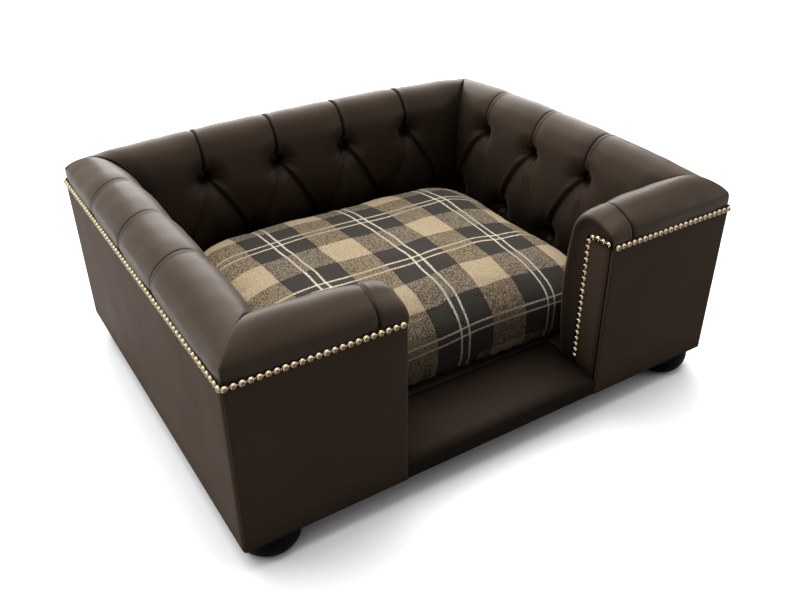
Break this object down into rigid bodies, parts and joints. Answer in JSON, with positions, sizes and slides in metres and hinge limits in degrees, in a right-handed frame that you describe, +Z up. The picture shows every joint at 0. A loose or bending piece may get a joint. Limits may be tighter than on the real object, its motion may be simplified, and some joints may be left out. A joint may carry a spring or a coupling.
{
  "type": "dog bed",
  "caption": "Low buttoned settee for a dog: padded walls on three sides and two front returns round a stepped entry, bun feet and a lift-out cushion.",
  "frame": {"origin": "on the floor under the middle of the bed", "axes": "+Z up, front with the entry towards -Y, +X to the right seen from the front"},
  "size_m": [0.9078, 0.7378, 0.378],
  "materials": {
    "tufted_leather": "smooth semi-matt dark brown faux leather over foam",
    "button_leather": "the same faux leather, stretched over a button shell",
    "cover_leather": "smooth semi-matt dark brown faux leather",
    "nail_brass": "pale brass plate, polished domes",
    "foot_black": "turned wood, black lacquer",
    "plywood": "raw plywood",
    "timber": "planed softwood",
    "dust_cloth": "black non-woven cloth",
    "deck_fabric": "dark woven lining",
    "foam": "cut upholstery foam",
    "zinc_steel": "zinc plated",
    "tartan_wool": "wool tartan in camel, charcoal and cream",
    "cushion_fibre": "polyester fibre filling",
    "zip_tape": "black nylon coil zip on woven tape",
    "zip_metal": "dark plated"
  },
  "bodies": {
    "bed": {"back_buttons": "button_leather", "back_inner_panel": "plywood", "back_left_foot": "foot_black", "back_left_post": "timber", "back_nail_strip": "nail_brass", "back_outer_cover": "cover_leather", "back_outer_panel": "plywood", "back_pad": "tufted_leather", "back_right_foot": "foot_black", "back_right_post": "timber", "back_top_rail": "timber", "base_board": "plywood", "deck_cloth": "deck_fabric", "deck_foam": "foam", "dust_cover": "dust_cloth", "foot_bolts": "zinc_steel", "foot_insert_nuts": "zinc_steel", "front_left_buttons": "button_leather", "front_left_foot": "foot_black", "front_left_inner_panel": "plywood", "front_left_nail_strip": "nail_brass", "front_left_outer_cover": "cover_leather", "front_left_outer_panel": "plywood", "front_left_pad": "tufted_leather", "front_left_post": "timber", "front_left_top_rail": "timber", "front_right_buttons": "button_leather", "front_right_foot": "foot_black", "front_right_inner_panel": "plywood", "front_right_nail_strip": "nail_brass", "front_right_outer_cover": "cover_leather", "front_right_outer_panel": "plywood", "front_right_pad": "tufted_leather", "front_right_post": "timber", "front_right_top_rail": "timber", "left_buttons": "button_leather", "left_inner_panel": "plywood", "left_jamb_nail_strip": "nail_brass", "left_jamb_post": "timber", "left_nail_strip": "nail_brass", "left_outer_cover": "cover_leather", "left_outer_panel": "plywood", "left_pad": "tufted_leather", "left_top_rail": "timber", "right_buttons": "button_leather", "right_inner_panel": "plywood", "right_jamb_nail_strip": "nail_brass", "right_jamb_post": "timber", "right_nail_strip": "nail_brass", "right_outer_cover": "cover_leather", "right_outer_panel": "plywood", "right_pad": "tufted_leather", "right_top_rail": "timber", "sill_pad": "tufted_leather", "strip_nails": "nail_brass", "wall_studs": "timber"},
    "cushion": {"cushion_cover": "tartan_wool", "cushion_fill": "cushion_fibre", "cushion_zip": "zip_tape"},
    "zip_slider": {"zip_slider": "zip_metal"}
  },
  "joints": [
    {"name": "cushion_lift", "type": "slide", "parent": "bed", "child": "cushion", "axis": [0, 0, 1], "range_m": [0, 0.33]},
    {"name": "zip_run", "type": "slide", "parent": "cushion", "child": "zip_slider", "axis": [-1, 0, 0], "range_m": [0, 0.376]}
  ]
}
